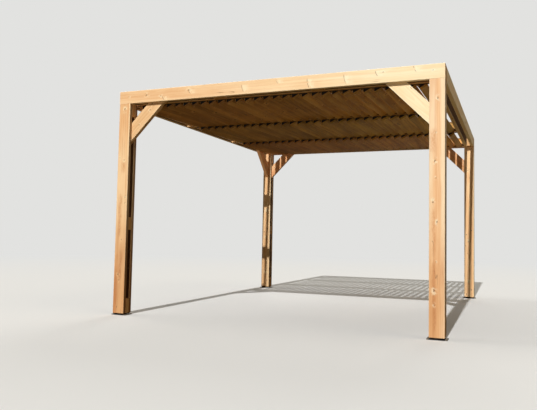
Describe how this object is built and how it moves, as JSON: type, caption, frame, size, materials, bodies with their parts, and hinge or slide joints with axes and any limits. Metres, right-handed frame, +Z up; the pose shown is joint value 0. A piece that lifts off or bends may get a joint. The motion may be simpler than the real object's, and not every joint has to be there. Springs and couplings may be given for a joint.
{
  "type": "wooden pergola",
  "caption": "Free-standing open timber pergola: doubled boards form the posts and roof frame, with diagonal braces and bays of tilted louvers overhead.",
  "frame": {"origin": "on the floor under the middle of the roof", "axes": "+Z up, +Y from the front to the rear, +X to the right seen from the front"},
  "size_m": [3.038, 3.52, 2.098],
  "materials": {
    "timber": "oiled softwood, satin",
    "louver_timber": "oiled softwood, satin",
    "dark_stained_timber": "dark stain, matt",
    "dark_steel": "dark coat, satin"
  },
  "bodies": {
    "root": {"brace_front_left": "timber", "brace_front_right": "timber", "brace_left_side_front": "timber", "brace_left_side_rear": "timber", "brace_rear_left": "timber", "brace_rear_right": "timber", "foot_front_left": "dark_steel", "foot_front_right": "dark_steel", "foot_rear_left": "dark_steel", "foot_rear_right": "dark_steel", "front_bay_louvers": "louver_timber", "front_bay_rails": "dark_stained_timber", "front_bay_strips": "louver_timber", "front_beam_blocks": "timber", "front_beam_inner_board": "timber", "front_beam_outer_board": "timber", "front_rafter": "timber", "left_beam_blocks": "timber", "left_beam_inner_board": "timber", "left_beam_outer_board": "timber", "middle_bay_louvers": "louver_timber", "middle_bay_rails": "dark_stained_timber", "middle_bay_strips": "louver_timber", "post_front_left_blocks": "timber", "post_front_left_inner_board": "timber", "post_front_left_outer_board": "timber", "post_front_right_blocks": "timber", "post_front_right_inner_board": "timber", "post_front_right_outer_board": "timber", "post_rear_left_blocks": "timber", "post_rear_left_inner_board": "timber", "post_rear_left_outer_board": "timber", "post_rear_right_blocks": "timber", "post_rear_right_inner_board": "timber", "post_rear_right_outer_board": "timber", "rear_bay_louvers": "louver_timber", "rear_bay_rails": "dark_stained_timber", "rear_bay_strips": "louver_timber", "rear_beam_blocks": "timber", "rear_beam_inner_board": "timber", "rear_beam_outer_board": "timber", "rear_rafter": "timber", "right_beam_blocks": "timber", "right_beam_inner_board": "timber", "right_beam_outer_board": "timber"}
  },
  "joints": []
}
